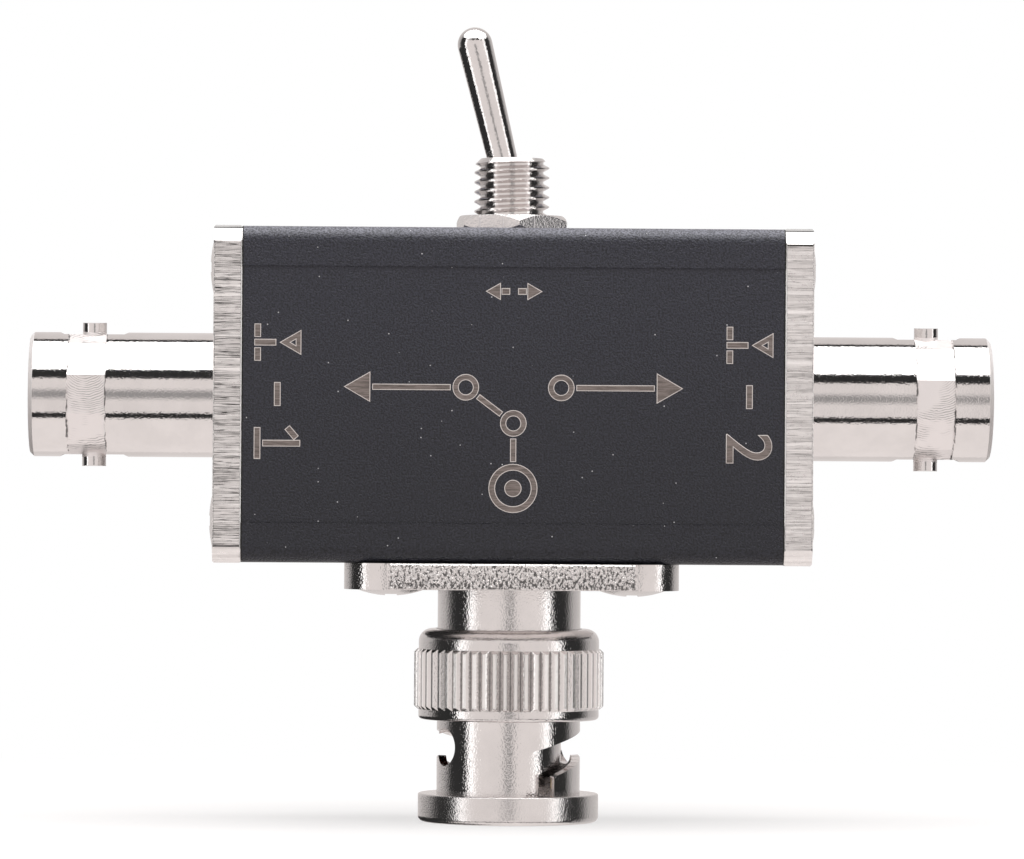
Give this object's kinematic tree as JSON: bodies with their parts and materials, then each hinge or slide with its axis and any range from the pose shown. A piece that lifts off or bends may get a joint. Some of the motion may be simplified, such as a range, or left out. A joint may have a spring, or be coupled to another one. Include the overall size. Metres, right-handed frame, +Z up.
{
  "type": "coaxial antenna switch",
  "caption": "Coaxial antenna switch: square black housing, bayonet jacks on its end plates, a toggle lever on top and a bayonet plug with a turning coupling nut underneath.",
  "frame": {"origin": "centre of the plug's mouth, which the part stands on", "axes": "+X along the housing towards the right-hand jack, -Y out of the front, +Z up the toggle bushing"},
  "size_m": [0.0742, 0.0254, 0.0614],
  "materials": {
    "black_anodised": "fine bead-blasted black anodising",
    "bright_plate": "milled bright aluminium",
    "nickel": "bright nickel plate",
    "nickel_screw": "nickel-plated screw",
    "spring_steel": "plain spring steel",
    "gold_contact": "gold-plated brass",
    "white_insulator": "turned white fluoropolymer",
    "dark_plastic": "moulded thermoset",
    "red_rubber": "silicone rubber",
    "tinned_copper": "tinned copper"
  },
  "bodies": {
    "housing": {"housing_tube": "black_anodised", "left_end_plate": "bright_plate", "right_end_plate": "bright_plate", "left_plate_screws": "nickel_screw", "right_plate_screws": "nickel_screw", "left_jack_shell": "nickel", "left_jack_insulator": "white_insulator", "left_jack_contact": "gold_contact", "left_jack_washer": "spring_steel", "left_jack_ground_tag": "tinned_copper", "left_jack_nut": "nickel", "right_jack_shell": "nickel", "right_jack_insulator": "white_insulator", "right_jack_contact": "gold_contact", "right_jack_washer": "spring_steel", "right_jack_ground_tag": "tinned_copper", "right_jack_nut": "nickel", "plug_flange": "nickel", "flange_screws": "nickel_screw", "plug_outer_contact": "nickel", "plug_insulator": "white_insulator", "plug_center_pin": "gold_contact", "plug_gasket": "red_rubber", "coupling_wave_washer": "spring_steel", "toggle_bushing": "nickel", "toggle_nut": "nickel", "toggle_locating_washer": "spring_steel", "toggle_frame": "spring_steel", "toggle_case": "dark_plastic", "common_terminal": "tinned_copper", "left_terminal": "tinned_copper", "right_terminal": "tinned_copper", "common_wire": "tinned_copper", "left_wire": "tinned_copper", "right_wire": "tinned_copper"},
    "coupling_carriage": {"coupling_thrust_washer": "spring_steel"},
    "coupling": {"coupling_nut": "nickel"},
    "lever": {"toggle_lever": "nickel", "toggle_pivot_pin": "spring_steel", "toggle_spring": "spring_steel"},
    "plunger": {"toggle_plunger": "dark_plastic"},
    "rocker": {"toggle_rocker": "gold_contact"}
  },
  "joints": [
    {"name": "coupling_pull", "type": "slide", "parent": "housing", "child": "coupling_carriage", "axis": [0, 0, -1], "range_m": [0, 0.0008], "stiffness_N_per_m": 6000, "deforming": ["coupling_wave_washer"]},
    {"name": "coupling_turn", "type": "hinge", "parent": "coupling_carriage", "child": "coupling", "pos_m": [0, 0, 0.0142], "axis": [0, 0, 1], "continuous": true},
    {"name": "lever_throw", "type": "hinge", "parent": "housing", "child": "lever", "pos_m": [0, 0, 0.04815], "axis": [0, 1, 0], "range_deg": [0, 27.6]},
    {"name": "plunger_travel", "type": "slide", "parent": "lever", "child": "plunger", "axis": [-0.2385, 0, 0.9711], "range_m": [0, 0.0005], "stiffness_N_per_m": 500, "deforming": ["toggle_spring"]},
    {"name": "rocker_tip", "type": "hinge", "parent": "housing", "child": "rocker", "pos_m": [0, 0, 0.04115], "axis": [0, 1, 0], "range_deg": [-16, 0]}
  ],
  "couplings": [
    {"joint": "rocker_tip", "follows": "lever_throw", "ratio": -0.5797}
  ]
}
